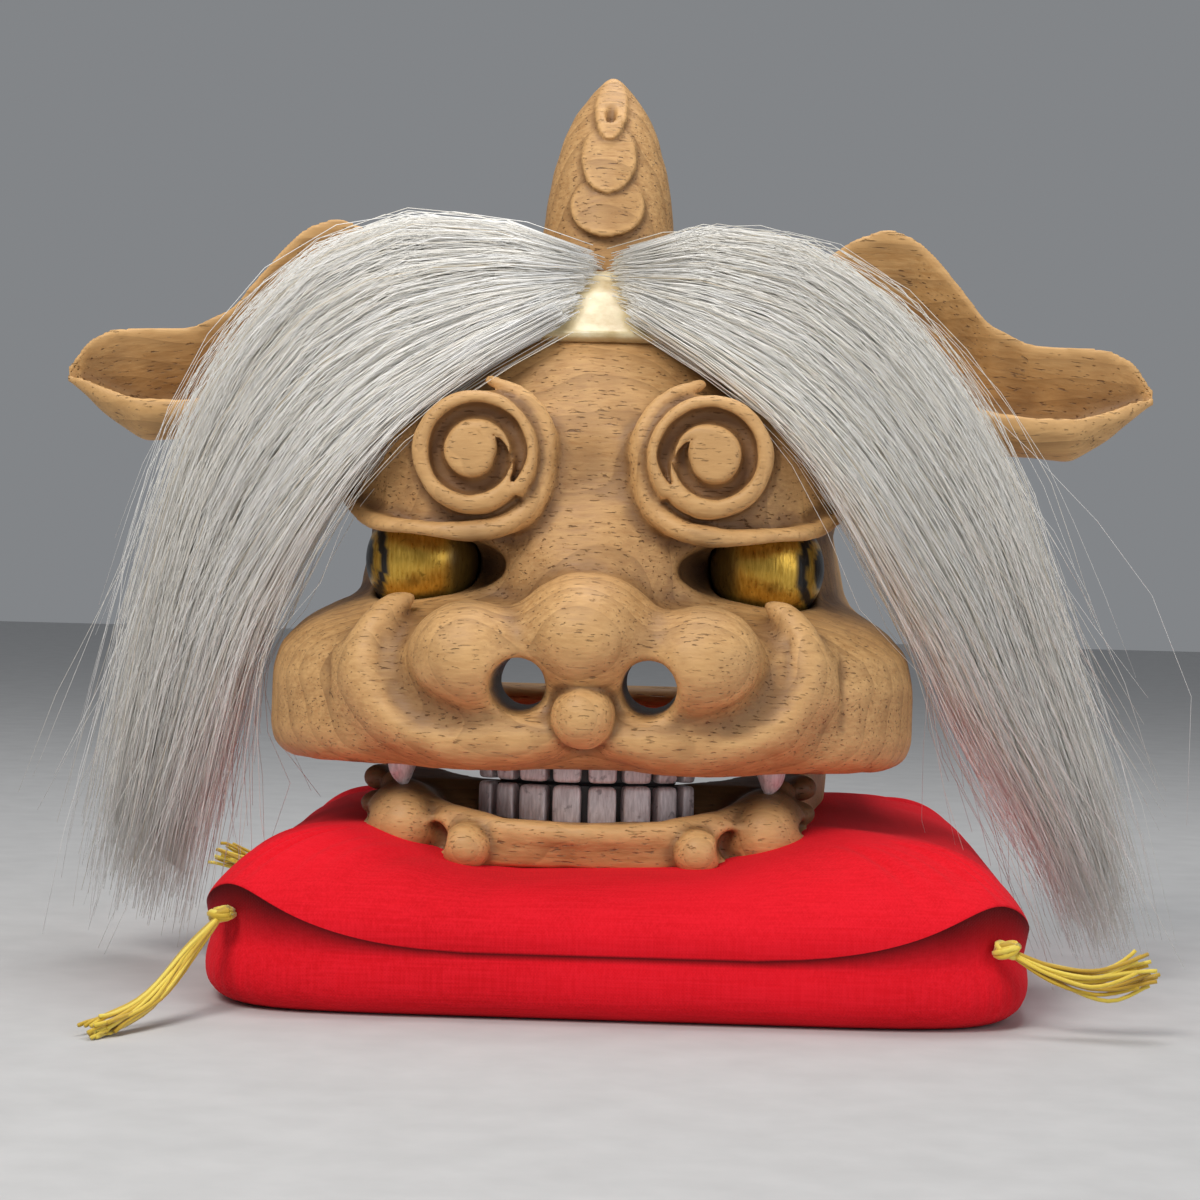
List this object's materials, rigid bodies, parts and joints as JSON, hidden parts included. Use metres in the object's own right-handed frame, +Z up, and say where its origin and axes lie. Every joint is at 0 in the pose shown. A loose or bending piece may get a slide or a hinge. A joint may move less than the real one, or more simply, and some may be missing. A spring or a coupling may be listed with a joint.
{
  "type": "lion dance head on a display cushion",
  "caption": "Carved wooden lion dance head with horn, ears, painted eyes and teeth, a swinging jaw and a white horsehair mane, resting on a tied red cushion.",
  "frame": {"origin": "on the floor under the middle of the part, at the flat bottom of the cushion", "axes": "+Z up, +X toward the viewer's right when facing the lion, and the face toward -Y"},
  "size_m": [0.3, 0.293, 0.2435],
  "materials": {
    "wood": "bare, lightly waxed, pale golden tan",
    "gold_paint": "brushed gold paint with black pupil and ring",
    "silver_paint": "brushed silver paint",
    "horsehair": "white to cream hair on yellowish hide",
    "red_cotton": "fine plain weave",
    "yellow_floss": "twisted cotton thread"
  },
  "bodies": {
    "base": {"cushion": "red_cotton", "tassel_front_left": "yellow_floss", "tassel_front_right": "yellow_floss", "tassel_back_left": "yellow_floss", "tassel_back_right": "yellow_floss", "lower_jaw": "wood", "lower_teeth": "silver_paint", "jaw_rod": "wood"},
    "head": {"head": "wood", "horn": "wood", "ear_left": "wood", "ear_right": "wood", "eye_left": "gold_paint", "eye_right": "gold_paint", "fang_left": "silver_paint", "fang_right": "silver_paint", "upper_teeth": "silver_paint", "mane": "horsehair"}
  },
  "joints": [
    {"name": "jaw_hinge", "type": "hinge", "parent": "base", "child": "head", "pos_m": [0, 0.06, 0.07], "axis": [-1, 0, 0], "range_deg": [0, 25]}
  ]
}
